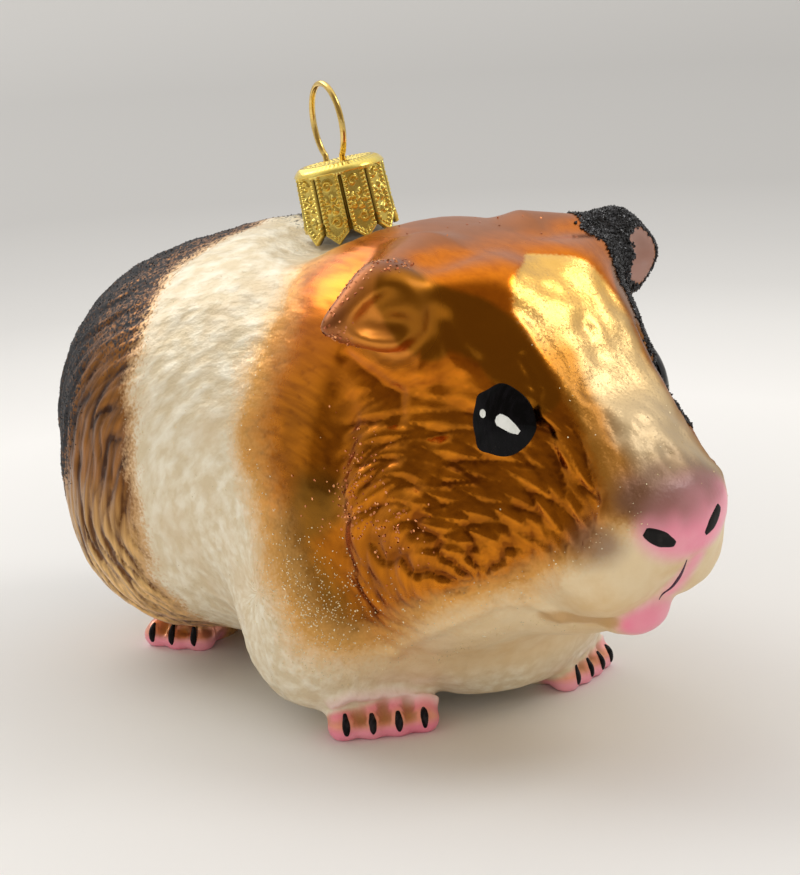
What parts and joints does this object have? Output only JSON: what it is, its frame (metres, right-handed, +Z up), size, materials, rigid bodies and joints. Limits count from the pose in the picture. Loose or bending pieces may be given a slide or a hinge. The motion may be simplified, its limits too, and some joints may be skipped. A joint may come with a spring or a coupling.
{
  "type": "blown glass guinea pig Christmas ornament",
  "caption": "Mouth-blown, silvered and painted glass tree ornament shaped as a standing guinea pig, with an embossed gold crown cap and a wire loop to hang it by.",
  "frame": {"origin": "middle of the bounding box's base, on the floor between the feet", "axes": "+Z up, the animal faces -Y and its left side is +X"},
  "size_m": [0.0484, 0.09, 0.065],
  "materials": {
    "cream_glass": "silvered glass under pearly cream lacquer, satin, with fine glitter",
    "amber_glass": "silvered glass under clear amber lacquer, satin to glossy, with copper glitter",
    "pink_glass": "silvered glass under salmon pink lacquer, glossy",
    "black_enamel": "black enamel paint, glossy and brushed on by hand",
    "gold_cap": "thin embossed sheet, polished gold colour",
    "gold_wire": "polished gold coloured spring wire"
  },
  "bodies": {
    "root": {"trunk": "cream_glass", "head": "amber_glass", "ear_left": "amber_glass", "ear_right": "amber_glass", "forefoot_left": "pink_glass", "forefoot_right": "pink_glass", "hindfoot_left": "pink_glass", "hindfoot_right": "pink_glass", "eye_left": "black_enamel", "eye_right": "black_enamel", "cap": "gold_cap", "hanger_loop": "gold_wire"}
  },
  "joints": []
}
